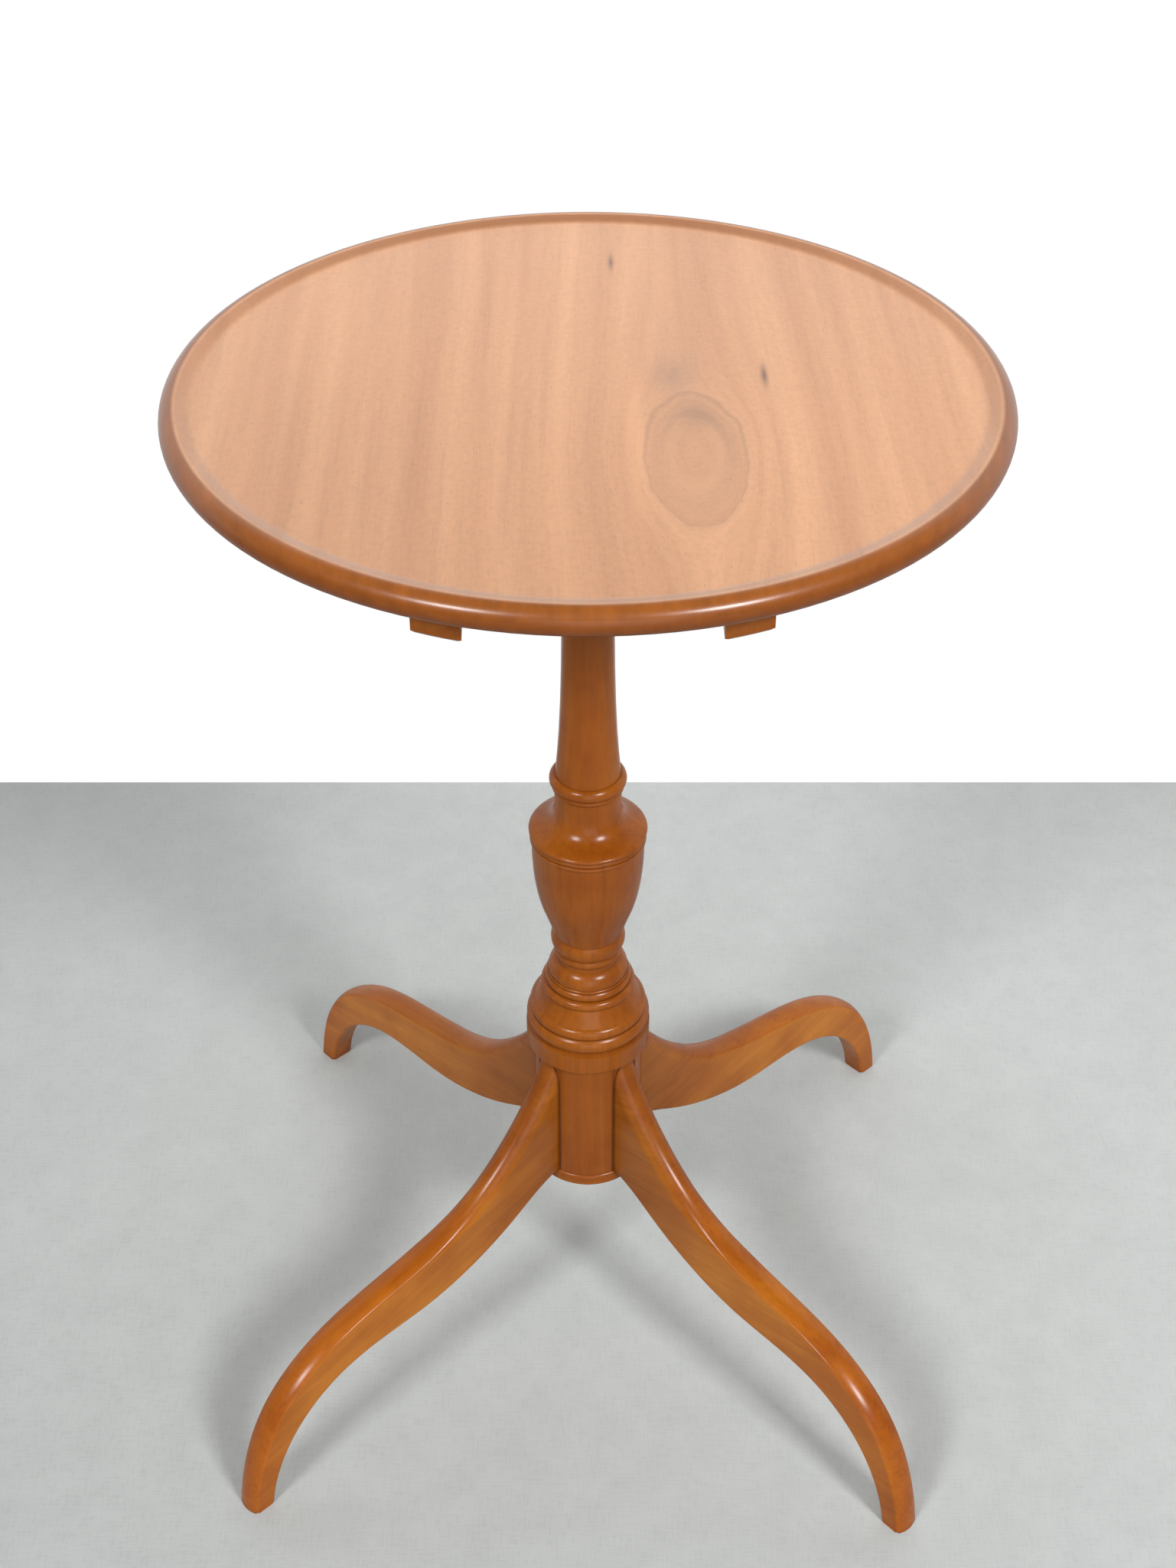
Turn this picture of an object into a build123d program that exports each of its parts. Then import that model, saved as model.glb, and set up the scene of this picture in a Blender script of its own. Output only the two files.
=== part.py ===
"""Tilt top table: a round dished top that tips up on a turned pillar with four swept legs.

Frame: origin on the floor under the pillar's axis, +Z up, the front of the table towards -Y.
Lengths are in millimetres.
"""
import os
from math import cos, radians, sqrt

from build123d import *

# Top board
TABLE_HEIGHT = 719.2
TOP_RADIUS = 231.5
TOP_THICKNESS = 16.4
DISH_DEPTH = 3.0
RIM_SLOPE_WIDTH = 10.4

# Bearers under the board
BEARER_WIDTH = 25.0
BEARER_THICKNESS = 18.0
BEARER_RIM_SETBACK = 17.5
BEARER_ARRIS = 2.0
BEARER_SCREW_PITCH = 145.0
BEARER_SCREW_BITE = 8.0

# Hinge block on the pillar
BLOCK_WIDTH = 125.0
BLOCK_DEPTH = 116.0
BLOCK_HEIGHT = 48.0
BLOCK_ARRIS = 3.0
SEAT_GAP = 0.3
CHEEK_GAP = 0.5

# Pivot pins
PIN_RADIUS = 4.0
PIN_BITE = 32.0
PIN_SINK = 1.5
PIN_RUNNING_GAP = 0.05
FIXED_GAP = 0.02

# Pillar: hub and drum
HUB_BOTTOM = 131.0
HUB_RADIUS = 36.5
HUB_HEIGHT = 101.5
DRUM_HEIGHT = 14.4
DRUM_OVERHANG = 4.7
DRUM_ARRIS = 1.2
DRUM_QUIRK_DEPTH = 3.0
DRUM_QUIRK_HEIGHT = 2.6

# Pillar: beads, bell and small dome
LOW_BEAD_RADIUS = 38.4
LOW_BEAD_HEIGHT = 10.2
LOW_BEAD_BULGE = 2.6
BELL_BEAD_RADIUS = 38.0
BELL_BEAD_HEIGHT = 7.2
BELL_BEAD_BULGE = 1.7
BELL_RADIUS = 35.4
BELL_HEIGHT = 10.8
BELL_ROLL_RADIUS = 29.8
BELL_ROLL_HEIGHT = 6.5
BELL_ROLL_BULGE = 2.0
BELL_RING_RADIUS = 27.4
BELL_RING_HEIGHT = 5.6
BELL_RING_BULGE = 1.2
THIN_RING_RADIUS = 26.3
THIN_RING_HEIGHT = 2.0
DOME_RADIUS = 25.8
DOME_HEIGHT = 10.8
DOME_BULGE = 2.0
QUIRK = 0.8
THIN_ROUND = 0.5

# Pillar: lower collar, vase and shoulder
NECK_RADIUS = 20.6
LOW_NECK_HEIGHT = 4.0
LOW_RING_RADIUS = 21.2
LOW_RING_HEIGHT = 5.8
LOW_RING_BULGE = 1.1
LOW_GROOVE_HEIGHT = 1.2
LOW_COLLAR_RADIUS = 22.6
LOW_COLLAR_HEIGHT = 11.6
LOW_COLLAR_BULGE = 1.6
VASE_FOOT_RADIUS = 22.9
VASE_HEIGHT = 74.7
VASE_RADIUS = 35.7
FILLET_BAND = 2.6
FILLET_STEP = 0.6
SHOULDER_RADIUS = 37.4
SHOULDER_HEIGHT = 34.3

# Pillar: upper collar and shaft
RING_RADIUS = 22.0
RING_HEIGHT = 2.8
COLLAR_HEIGHT = 8.5
COLLAR_BULGE = 2.5
SHAFT_FOOT_RADIUS = 20.4
SHAFT_TOP_RADIUS = 15.2
TENON_RADIUS = 12.0
WEDGE_DEPTH = 26.0
WEDGE_THICKNESS = 3.0
WEDGE_TIP = 0.8

# Legs
LEG_THICKNESS = 19.0
LEG_REACH = 310.0
FOOT_THICKNESS = 18.5
FOOT_DEPTH = 17.0
LEG_CROWN = 3.2
LEG_ARRIS = 2.2
LEG_TURN = -2.7
LEG_QUARTERS = {"front_right": -45.0, "back_right": 45.0, "back_left": 135.0, "front_left": 225.0}
# Edges of a leg seen from its side, as shares of the way out from the hub to the foot and of the
# height of the hub's top for the upper edge, or of the hub's underside for the lower edge.
LEG_UPPER_LINE = [
    (0.049, 0.892),
    (0.133, 0.763),
    (0.316, 0.600),
    (0.503, 0.540),
    (0.718, 0.483),
    (0.892, 0.342),
    (0.981, 0.122),
]
LEG_LOWER_LINE = [
    (0.076, 0.945),
    (0.146, 0.865),
    (0.275, 0.745),
    (0.462, 0.657),
    (0.634, 0.644),
    (0.758, 0.600),
    (0.880, 0.458),
    (0.953, 0.275),
]
DOVETAIL_DEPTH = 10.0
DOVETAIL_NECK = 9.0
DOVETAIL_TAIL = 13.0
DOVETAIL_CAP = 9.0
GLUE_GAP = 0.05
JOINT_GROOVE = 1.6

# Disc under the hub
DISC_THICKNESS = 8.0
DISC_OVERHANG = 1.3
DISC_ROUND = 2.6
DISC_SCREW_CIRCLE = 24.0
DISC_SCREW_BITE = 20.0

# Wood screws
SCREW_HEAD_RADIUS = 4.0
SCREW_SHANK_RADIUS = 2.0
SMALL_SCREW_HEAD_RADIUS = 2.4
SMALL_SCREW_SHANK_RADIUS = 1.1
SMALL_SCREW_BITE = 8.0
SLOT_SHARE_OF_HEAD = 0.22
SCREW_GAP = 0.03

# Sliding bolt under the top
PLATE_WIDTH = 34.0
PLATE_LENGTH = 46.0
PLATE_THICKNESS = 1.2
PLATE_SETBACK = 7.0
PLATE_SCREW_INSET = 4.5
BAR_WIDTH = 10.0
BAR_THICKNESS = 4.0
BAR_LENGTH = 44.0
BAR_TRAVEL = 8.0
BAR_GAP = 0.3
BAR_TIP_GAP = 0.8
GUIDE_LENGTH = 7.0
GUIDE_WALL = 1.4
GUIDE_FOOT = 4.0
GUIDE_SPACING = 23.0
KNOB_STEM_RADIUS = 2.0
KNOB_STEM_LENGTH = 4.0
KNOB_RADIUS = 4.5
LEAF_THICKNESS = 0.4
LEAF_WIDTH = 6.5
LEAF_LENGTH = 30.0
LEAF_BOW = 1.2

# Strike plate on the block
STRIKE_WIDTH = 34.0
STRIKE_HEIGHT = 15.0
STRIKE_THICKNESS = 1.2
STRIKE_SCREW_PITCH = 24.0
MORTISE_DEPTH = 10.0

# Heights and places that follow from the sizes above
BOARD_UNDERSIDE = TABLE_HEIGHT - TOP_THICKNESS
DISH_FLOOR = TABLE_HEIGHT - DISH_DEPTH
RIM_ROUND = TOP_THICKNESS / 2
BLOCK_TOP = BOARD_UNDERSIDE - SEAT_GAP
BLOCK_BOTTOM = BLOCK_TOP - BLOCK_HEIGHT
BEARER_INNER = BLOCK_WIDTH / 2 + CHEEK_GAP
BEARER_OUTER = BEARER_INNER + BEARER_WIDTH
PIN_HEIGHT = BOARD_UNDERSIDE - BEARER_THICKNESS / 2
NOSE_RADIUS = BLOCK_TOP - PIN_HEIGHT
PIN_PLACE = -BLOCK_DEPTH / 2 + NOSE_RADIUS
HUB_TOP = HUB_BOTTOM + HUB_HEIGHT
DISC_RADIUS = HUB_RADIUS + DISC_OVERHANG
GROOVE_RADIUS = LOW_RING_RADIUS - QUIRK
DRUM_RADIUS = HUB_RADIUS + DRUM_OVERHANG
STRIKE_FACE = BLOCK_DEPTH / 2 + STRIKE_THICKNESS
BAR_TIP = STRIKE_FACE + BAR_TIP_GAP
LEAF_ROOM = LEAF_THICKNESS + LEAF_BOW + BAR_GAP
BAR_TOP = BOARD_UNDERSIDE - PLATE_THICKNESS - LEAF_ROOM
BAR_BOTTOM = BAR_TOP - BAR_THICKNESS
PLATE_FRONT = BLOCK_DEPTH / 2 + PLATE_SETBACK
PLATE_MIDDLE = PLATE_FRONT + PLATE_LENGTH / 2
KNOB_PLACE = PLATE_MIDDLE + BAR_TRAVEL / 2


def straight(end):
    """A straight run of a turned outline."""
    return lambda start: Line(start, end)


def bow(end, rise):
    """A round run of a turned outline that stands out by rise, or in where rise is negative."""
    return lambda start: SagittaArc(start, end, -rise)


def flow(*points):
    """A smooth run of a turned outline through the given points."""
    return lambda start: Spline(start, *points)


def turned(start, runs):
    """Solid turned about the Z axis from an outline of (radius, height) runs, closed on the axis."""
    edges = []
    here = start
    for run in runs:
        edge = run(here)
        edges.append(edge)
        here = edge @ 1
    edges.append(Line(here, start))
    return revolve(Plane.XZ * make_face(edges), Axis.Z)


def block(x_range, y_range, z_range):
    """Box between two corners given as ranges along X, Y and Z."""
    size = [high - low for low, high in (x_range, y_range, z_range)]
    middle = [(high + low) / 2 for low, high in (x_range, y_range, z_range)]
    return Pos(*middle) * Box(*size)


def rod(radius, low, high):
    """Upright cylinder on the Z axis between two heights."""
    return Pos(0, 0, (low + high) / 2) * Cylinder(radius, high - low)


def screw_body(head_radius, shank_radius, bite, grow=0.0):
    """Countersunk screw without its slot: its head's face at the origin, its point towards +Z."""
    head = head_radius - shank_radius
    return turned(
        (0, 0),
        [
            straight((head_radius + grow, 0)),
            straight((shank_radius + grow, head)),
            straight((shank_radius + grow, bite - shank_radius)),
            straight((0, bite + grow)),
        ],
    )


def screw(head_radius, shank_radius, bite):
    """Countersunk wood screw with a slotted head."""
    slot = head_radius * SLOT_SHARE_OF_HEAD
    return screw_body(head_radius, shank_radius, bite) - Box(3 * head_radius, slot, 2 * slot)


def placed(shape, places):
    """Copies of a shape at a list of locations."""
    return [place * shape for place in places]


def bearer_screw_places(side):
    """Screws that hold one bearer to the board; side is -1 for the left bearer, 1 for the right."""
    middle = side * (BEARER_INNER + BEARER_OUTER) / 2
    low = BOARD_UNDERSIDE - BEARER_THICKNESS
    return [Pos(middle, step * BEARER_SCREW_PITCH, low) for step in (-1, 0, 1)]


def plate_screw_places():
    """Screws at the corners of the bolt's plate."""
    across = PLATE_WIDTH / 2 - PLATE_SCREW_INSET
    along = PLATE_LENGTH / 2 - PLATE_SCREW_INSET
    low = BOARD_UNDERSIDE - PLATE_THICKNESS
    return [Pos(x * across, PLATE_MIDDLE + y * along, low) for x in (-1, 1) for y in (-1, 1)]


def strike_screw_places():
    """Screws of the strike plate, driven into the rear face of the block."""
    height = (BAR_TOP + BAR_BOTTOM) / 2
    halves = (-STRIKE_SCREW_PITCH / 2, STRIKE_SCREW_PITCH / 2)
    return [Pos(x, STRIKE_FACE, height) * Rot(90, 0, 0) for x in halves]


def disc_screw_places():
    """Screws that hold the disc under the hub, between the legs."""
    low = HUB_BOTTOM - DISC_THICKNESS
    return [Rot(0, 0, 90 * turn) * Pos(DISC_SCREW_CIRCLE, 0, low) for turn in range(4)]


def bearer_screw_bite():
    """Length of a bearer screw, through the bearer and into the board."""
    return BEARER_THICKNESS + BEARER_SCREW_BITE


def disc_screw_bite():
    """Length of a disc screw, through the disc and into the hub."""
    return DISC_THICKNESS + DISC_SCREW_BITE


def top_board():
    """Round board turned with a half-round edge, a raised rim and a shallow dish."""
    crest = TOP_RADIUS - RIM_ROUND
    dish = crest - RIM_SLOPE_WIDTH
    edges = [
        Line((0, BOARD_UNDERSIDE), (crest, BOARD_UNDERSIDE)),
        ThreePointArc(
            (crest, BOARD_UNDERSIDE), (TOP_RADIUS, BOARD_UNDERSIDE + RIM_ROUND), (crest, TABLE_HEIGHT)
        ),
        Spline((crest, TABLE_HEIGHT), (dish, DISH_FLOOR), tangents=[(-1, 0), (-1, 0)]),
        Line((dish, DISH_FLOOR), (0, DISH_FLOOR)),
        Line((0, DISH_FLOOR), (0, BOARD_UNDERSIDE)),
    ]
    board = revolve(Plane.XZ * make_face(edges), Axis.Z)
    hole = screw_body(SCREW_HEAD_RADIUS, SCREW_SHANK_RADIUS, bearer_screw_bite(), SCREW_GAP)
    small_hole = screw_body(
        SMALL_SCREW_HEAD_RADIUS, SMALL_SCREW_SHANK_RADIUS, SMALL_SCREW_BITE, SCREW_GAP
    )
    places = bearer_screw_places(-1) + bearer_screw_places(1)
    return board - placed(hole, places) - placed(small_hole, plate_screw_places())


def bearer(side):
    """Bearer screwed under the board and bored for its pivot pin; its ends follow the rim."""
    low = BOARD_UNDERSIDE - BEARER_THICKNESS
    bar = block(
        (BEARER_INNER, BEARER_OUTER), (-TOP_RADIUS, TOP_RADIUS), (low, BOARD_UNDERSIDE)
    )
    bar &= rod(TOP_RADIUS - BEARER_RIM_SETBACK, low, BOARD_UNDERSIDE)
    bar = chamfer(bar.faces().sort_by(Axis.Z)[0].edges(), BEARER_ARRIS)
    bore = Pos(BEARER_INNER, PIN_PLACE, PIN_HEIGHT) * Rot(0, 90, 0)
    bore *= Cylinder(PIN_RADIUS + PIN_RUNNING_GAP, 3 * BEARER_WIDTH)
    bar -= bore
    if side < 0:
        bar = bar.mirror(Plane.YZ)
    hole = screw_body(SCREW_HEAD_RADIUS, SCREW_SHANK_RADIUS, bearer_screw_bite(), SCREW_GAP)
    return bar - placed(hole, bearer_screw_places(side))


def bearer_screws():
    """Six screws that hold the bearers to the board."""
    one = screw(SCREW_HEAD_RADIUS, SCREW_SHANK_RADIUS, bearer_screw_bite())
    return Compound(placed(one, bearer_screw_places(-1) + bearer_screw_places(1)))


def hinge_block():
    """Block on the pillar that the top tips on; its upper front edge is rounded about the pins."""
    half_width = BLOCK_WIDTH / 2
    half_depth = BLOCK_DEPTH / 2
    edges = [
        Line((-half_depth, PIN_HEIGHT), (-half_depth, BLOCK_BOTTOM)),
        Line((-half_depth, BLOCK_BOTTOM), (half_depth, BLOCK_BOTTOM)),
        Line((half_depth, BLOCK_BOTTOM), (half_depth, BLOCK_TOP)),
        Line((half_depth, BLOCK_TOP), (PIN_PLACE, BLOCK_TOP)),
        CenterArc((PIN_PLACE, PIN_HEIGHT), NOSE_RADIUS, 90, 90),
    ]
    body = extrude(Plane.YZ * make_face(edges), half_width, both=True)
    body = chamfer(body.faces().sort_by(Axis.Z)[0].edges(), BLOCK_ARRIS)
    body -= rod(TENON_RADIUS + FIXED_GAP, BLOCK_BOTTOM, BLOCK_TOP)
    pin_hole = Rot(0, 90, 0) * Cylinder(PIN_RADIUS + FIXED_GAP, PIN_BITE)
    for side in (-1, 1):
        body -= Pos(side * (half_width - PIN_BITE / 2), PIN_PLACE, PIN_HEIGHT) * pin_hole
    body -= block(
        (-BAR_WIDTH / 2 - BAR_GAP, BAR_WIDTH / 2 + BAR_GAP),
        (half_depth - MORTISE_DEPTH, half_depth),
        (BAR_BOTTOM - BAR_GAP, BAR_TOP + BAR_GAP),
    )
    hole = screw_body(
        SMALL_SCREW_HEAD_RADIUS, SMALL_SCREW_SHANK_RADIUS, SMALL_SCREW_BITE, SCREW_GAP
    )
    return body - placed(hole, strike_screw_places())


def pivot_pin(side):
    """Steel pin fixed in the side of the block, on which one bearer turns."""
    inner = BLOCK_WIDTH / 2 - PIN_BITE
    outer = BEARER_OUTER - PIN_SINK
    pin = Cylinder(PIN_RADIUS, outer - inner)
    pin = chamfer(pin.edges().filter_by(GeomType.CIRCLE), PIN_RADIUS / 8)
    return Pos(side * (outer + inner) / 2, PIN_PLACE, PIN_HEIGHT) * Rot(0, 90, 0) * pin


def bell_runs(low):
    """Outline of the two beads, the bell, its rings and the small dome, upwards from a height."""
    quirk = low + LOW_BEAD_HEIGHT
    bead = quirk + QUIRK
    bell = bead + BELL_BEAD_HEIGHT
    roll = bell + BELL_HEIGHT
    ring = roll + BELL_ROLL_HEIGHT
    thin = ring + BELL_RING_HEIGHT
    dome = thin + THIN_RING_HEIGHT
    spread = BELL_RADIUS - BELL_ROLL_RADIUS
    return [
        bow((LOW_BEAD_RADIUS - QUIRK / 2, quirk), LOW_BEAD_BULGE),
        straight((BELL_BEAD_RADIUS - QUIRK, quirk)),
        straight((BELL_BEAD_RADIUS - QUIRK, bead)),
        straight((BELL_BEAD_RADIUS, bead)),
        bow((BELL_RADIUS, bell), BELL_BEAD_BULGE),
        flow(
            (BELL_ROLL_RADIUS + 0.56 * spread, bell + 0.36 * BELL_HEIGHT),
            (BELL_ROLL_RADIUS + 0.22 * spread, bell + 0.68 * BELL_HEIGHT),
            (BELL_ROLL_RADIUS, roll),
        ),
        bow((BELL_RING_RADIUS + QUIRK, ring), BELL_ROLL_BULGE),
        straight((BELL_RING_RADIUS, ring)),
        bow((BELL_RING_RADIUS - QUIRK / 2, thin), BELL_RING_BULGE),
        straight((THIN_RING_RADIUS, thin)),
        bow((THIN_RING_RADIUS, dome), THIN_ROUND),
        straight((DOME_RADIUS, dome)),
        bow((NECK_RADIUS, dome + DOME_HEIGHT), DOME_BULGE),
    ]


def low_collar_runs(low):
    """Outline of the lower neck, its ring and groove and the round collar, upwards from a height."""
    ring = low + LOW_NECK_HEIGHT
    groove = ring + LOW_RING_HEIGHT
    collar = groove + LOW_GROOVE_HEIGHT
    return [
        straight((NECK_RADIUS, ring)),
        straight((LOW_RING_RADIUS, ring)),
        bow((LOW_RING_RADIUS, groove), LOW_RING_BULGE),
        straight((GROOVE_RADIUS, groove)),
        straight((GROOVE_RADIUS, collar)),
        straight((LOW_COLLAR_RADIUS, collar)),
        bow((LOW_COLLAR_RADIUS, collar + LOW_COLLAR_HEIGHT), LOW_COLLAR_BULGE),
    ]


def vase_runs(low):
    """Outline of the vase, its double fillet and the shoulder, upwards from a height."""
    vase = low + QUIRK
    fillet = vase + VASE_HEIGHT
    shoulder = fillet + 2 * FILLET_BAND + QUIRK
    fillet_radius = VASE_RADIUS + FILLET_STEP
    groove_radius = VASE_RADIUS - FILLET_STEP
    growth = VASE_RADIUS - VASE_FOOT_RADIUS
    spread = SHOULDER_RADIUS - NECK_RADIUS
    return [
        straight((VASE_FOOT_RADIUS, vase)),
        flow(
            (VASE_FOOT_RADIUS + 0.20 * growth, vase + 0.12 * VASE_HEIGHT),
            (VASE_FOOT_RADIUS + 0.44 * growth, vase + 0.24 * VASE_HEIGHT),
            (VASE_FOOT_RADIUS + 0.67 * growth, vase + 0.38 * VASE_HEIGHT),
            (VASE_FOOT_RADIUS + 0.84 * growth, vase + 0.54 * VASE_HEIGHT),
            (VASE_FOOT_RADIUS + 0.97 * growth, vase + 0.78 * VASE_HEIGHT),
            (VASE_RADIUS, fillet),
        ),
        straight((fillet_radius, fillet)),
        bow((fillet_radius, fillet + FILLET_BAND), THIN_ROUND),
        straight((groove_radius, fillet + FILLET_BAND + QUIRK / 2)),
        straight((fillet_radius, fillet + FILLET_BAND + QUIRK)),
        bow((fillet_radius, shoulder), THIN_ROUND),
        straight((groove_radius, shoulder)),
        flow(
            (NECK_RADIUS + 0.97 * spread, shoulder + 0.02 * SHOULDER_HEIGHT),
            (SHOULDER_RADIUS, shoulder + 0.06 * SHOULDER_HEIGHT),
            (NECK_RADIUS + 0.91 * spread, shoulder + 0.11 * SHOULDER_HEIGHT),
            (NECK_RADIUS + 0.68 * spread, shoulder + 0.17 * SHOULDER_HEIGHT),
            (NECK_RADIUS + 0.45 * spread, shoulder + 0.235 * SHOULDER_HEIGHT),
            (NECK_RADIUS + 0.25 * spread, shoulder + 0.315 * SHOULDER_HEIGHT),
            (NECK_RADIUS + 0.11 * spread, shoulder + 0.42 * SHOULDER_HEIGHT),
            (NECK_RADIUS + 0.03 * spread, shoulder + 0.58 * SHOULDER_HEIGHT),
            (NECK_RADIUS, shoulder + SHOULDER_HEIGHT),
        ),
    ]


def shaft_runs(low):
    """Outline of the upper collar, the slender shaft and the tenon, upwards from a height."""
    bead = low + RING_HEIGHT
    shaft = bead + COLLAR_HEIGHT
    length = BLOCK_BOTTOM - shaft
    taper = SHAFT_FOOT_RADIUS - SHAFT_TOP_RADIUS
    return [
        straight((RING_RADIUS, low)),
        bow((RING_RADIUS, bead), THIN_ROUND),
        bow((SHAFT_FOOT_RADIUS + QUIRK, shaft), COLLAR_BULGE),
        straight((SHAFT_FOOT_RADIUS, shaft)),
        flow(
            (SHAFT_TOP_RADIUS + 0.60 * taper, shaft + 0.12 * length),
            (SHAFT_TOP_RADIUS + 0.27 * taper, shaft + 0.30 * length),
            (SHAFT_TOP_RADIUS + 0.08 * taper, shaft + 0.58 * length),
            (SHAFT_TOP_RADIUS, BLOCK_BOTTOM),
        ),
        straight((TENON_RADIUS, BLOCK_BOTTOM)),
        straight((TENON_RADIUS, BLOCK_TOP)),
        straight((0, BLOCK_TOP)),
    ]


def tenon_wedge():
    """Tapered wedge driven into the top of the tenon, with its thick end up."""
    half_top = WEDGE_THICKNESS / 2
    half_tip = WEDGE_TIP / 2
    tip = BLOCK_TOP - WEDGE_DEPTH
    outline = Polyline(
        (-half_top, BLOCK_TOP), (half_top, BLOCK_TOP), (half_tip, tip), (-half_tip, tip), close=True
    )
    slab = extrude(Plane.YZ * make_face(outline), 2 * TENON_RADIUS, both=True)
    return slab & rod(TENON_RADIUS, tip, BLOCK_TOP)


def dovetail(grow=0.0):
    """Tail of a leg along +X, from the hub's underside up to the cap of its mortise."""
    inner = HUB_RADIUS - DOVETAIL_DEPTH - grow
    outer = HUB_RADIUS + DOVETAIL_DEPTH / 2
    neck = DOVETAIL_NECK / 2 + grow
    tail = DOVETAIL_TAIL / 2 + grow
    half = [(inner, tail), (HUB_RADIUS, neck), (outer, neck)]
    outline = Polyline(*half, *[(x, -y) for x, y in reversed(half)], close=True)
    return Pos(0, 0, HUB_BOTTOM) * extrude(make_face(outline), HUB_HEIGHT - DOVETAIL_CAP + grow)


def joint_grooves():
    """V-cuts down both sides of a leg's shoulder, where it meets the hub."""
    half = LEG_THICKNESS / 2
    reach = sqrt(HUB_RADIUS**2 - half**2)
    middle = HUB_BOTTOM + HUB_HEIGHT / 2
    cut = Rot(0, 0, 45) * Box(JOINT_GROOVE, JOINT_GROOVE, HUB_HEIGHT)
    return [Pos(reach, side * half, middle) * cut for side in (-1, 1)]


def pillar():
    """Turned pillar in one piece: hub, drum, bell, vase, shaft and the tenon into the block."""
    drum = HUB_TOP + DRUM_HEIGHT
    bell = drum + DRUM_QUIRK_HEIGHT
    ring = bell + LOW_BEAD_HEIGHT + QUIRK + BELL_BEAD_HEIGHT + BELL_HEIGHT + BELL_ROLL_HEIGHT
    neck = ring + BELL_RING_HEIGHT + THIN_RING_HEIGHT + DOME_HEIGHT
    vase = neck + LOW_NECK_HEIGHT + LOW_RING_HEIGHT + LOW_GROOVE_HEIGHT + LOW_COLLAR_HEIGHT
    shoulder = vase + QUIRK + VASE_HEIGHT + 2 * FILLET_BAND + QUIRK
    shaft = shoulder + SHOULDER_HEIGHT
    foot = [
        straight((HUB_RADIUS, HUB_BOTTOM)),
        straight((HUB_RADIUS, HUB_TOP)),
        straight((DRUM_RADIUS - DRUM_ARRIS, HUB_TOP)),
        bow((DRUM_RADIUS, HUB_TOP + DRUM_ARRIS), 0.3 * DRUM_ARRIS),
        straight((DRUM_RADIUS, drum)),
        straight((DRUM_RADIUS - DRUM_QUIRK_DEPTH, drum + DRUM_QUIRK_HEIGHT / 2)),
        straight((LOW_BEAD_RADIUS, bell)),
    ]
    turnings = bell_runs(bell) + low_collar_runs(neck) + vase_runs(vase) + shaft_runs(shaft)
    body = turned((0, HUB_BOTTOM), foot + turnings)
    body -= tenon_wedge()
    for quarter in LEG_QUARTERS.values():
        for cutter in [dovetail(GLUE_GAP)] + joint_grooves():
            body -= Rot(0, 0, quarter + LEG_TURN) * cutter
    hole = screw_body(SCREW_HEAD_RADIUS, SCREW_SHANK_RADIUS, disc_screw_bite(), SCREW_GAP)
    return body - placed(hole, disc_screw_places())


def long_edges(body):
    """Edges that run the length of a leg, from the lowest to the highest."""
    return body.edges().filter_by(lambda edge: edge.length > LEG_REACH / 2).sort_by(Axis.Z)


def leg_line(shares, far, high):
    """Points of a leg's edge, from shares of the way from the hub to far and of the height."""
    return [(HUB_RADIUS + out * (far - HUB_RADIUS), up * high) for out, up in shares]


def leg(azimuth):
    """Swept leg dovetailed into the hub, rounded along its edges and thinner towards its foot."""
    half = LEG_THICKNESS / 2
    foot_half = FOOT_THICKNESS / 2
    root = HUB_RADIUS - half
    foot = LEG_REACH - FOOT_DEPTH
    upper = leg_line(LEG_UPPER_LINE, LEG_REACH, HUB_TOP)
    lower = leg_line(LEG_LOWER_LINE, foot, HUB_BOTTOM)
    edges = [
        Line((root, HUB_BOTTOM), (root, HUB_TOP)),
        Line((root, HUB_TOP), (HUB_RADIUS, HUB_TOP)),
        Spline((HUB_RADIUS, HUB_TOP), *upper, (LEG_REACH, 0)),
        Line((LEG_REACH, 0), (foot, 0)),
        Spline((foot, 0), *reversed(lower), (HUB_RADIUS, HUB_BOTTOM)),
        Line((HUB_RADIUS, HUB_BOTTOM), (root, HUB_BOTTOM)),
    ]
    body = extrude(Plane.XZ * make_face(edges), half, both=True)
    plan = Polyline(
        (root, half), (root, -half), (LEG_REACH, -foot_half), (LEG_REACH, foot_half), close=True
    )
    body &= extrude(make_face(plan), HUB_TOP)
    body = fillet(long_edges(body)[:2], LEG_ARRIS)
    body = fillet(long_edges(body)[-2:], LEG_CROWN)
    body -= rod(HUB_RADIUS + GLUE_GAP, 0, HUB_TOP)
    for cut in joint_grooves():
        body -= cut
    body += dovetail() & rod(HUB_RADIUS + DOVETAIL_DEPTH, HUB_BOTTOM, HUB_TOP)
    return Rot(0, 0, azimuth) * body


def base_disc():
    """Disc screwed under the hub to keep the dovetails in; its upper edge is rounded."""
    low = HUB_BOTTOM - DISC_THICKNESS
    disc = rod(DISC_RADIUS, low, HUB_BOTTOM)
    disc = fillet(disc.edges().group_by(Axis.Z)[-1], DISC_ROUND)
    hole = screw_body(SCREW_HEAD_RADIUS, SCREW_SHANK_RADIUS, disc_screw_bite(), SCREW_GAP)
    return disc - placed(hole, disc_screw_places())


def disc_screws():
    """Four screws up through the disc into the hub."""
    one = screw(SCREW_HEAD_RADIUS, SCREW_SHANK_RADIUS, disc_screw_bite())
    return Compound(placed(one, disc_screw_places()))


def small_screws(places):
    """Small brass screws of the catch."""
    one = screw(SMALL_SCREW_HEAD_RADIUS, SMALL_SCREW_SHANK_RADIUS, SMALL_SCREW_BITE)
    return Compound(placed(one, places))


def small_screw_holes(places):
    """Countersunk holes for the small screws."""
    hole = screw_body(
        SMALL_SCREW_HEAD_RADIUS, SMALL_SCREW_SHANK_RADIUS, SMALL_SCREW_BITE, SCREW_GAP
    )
    return placed(hole, places)


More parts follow.
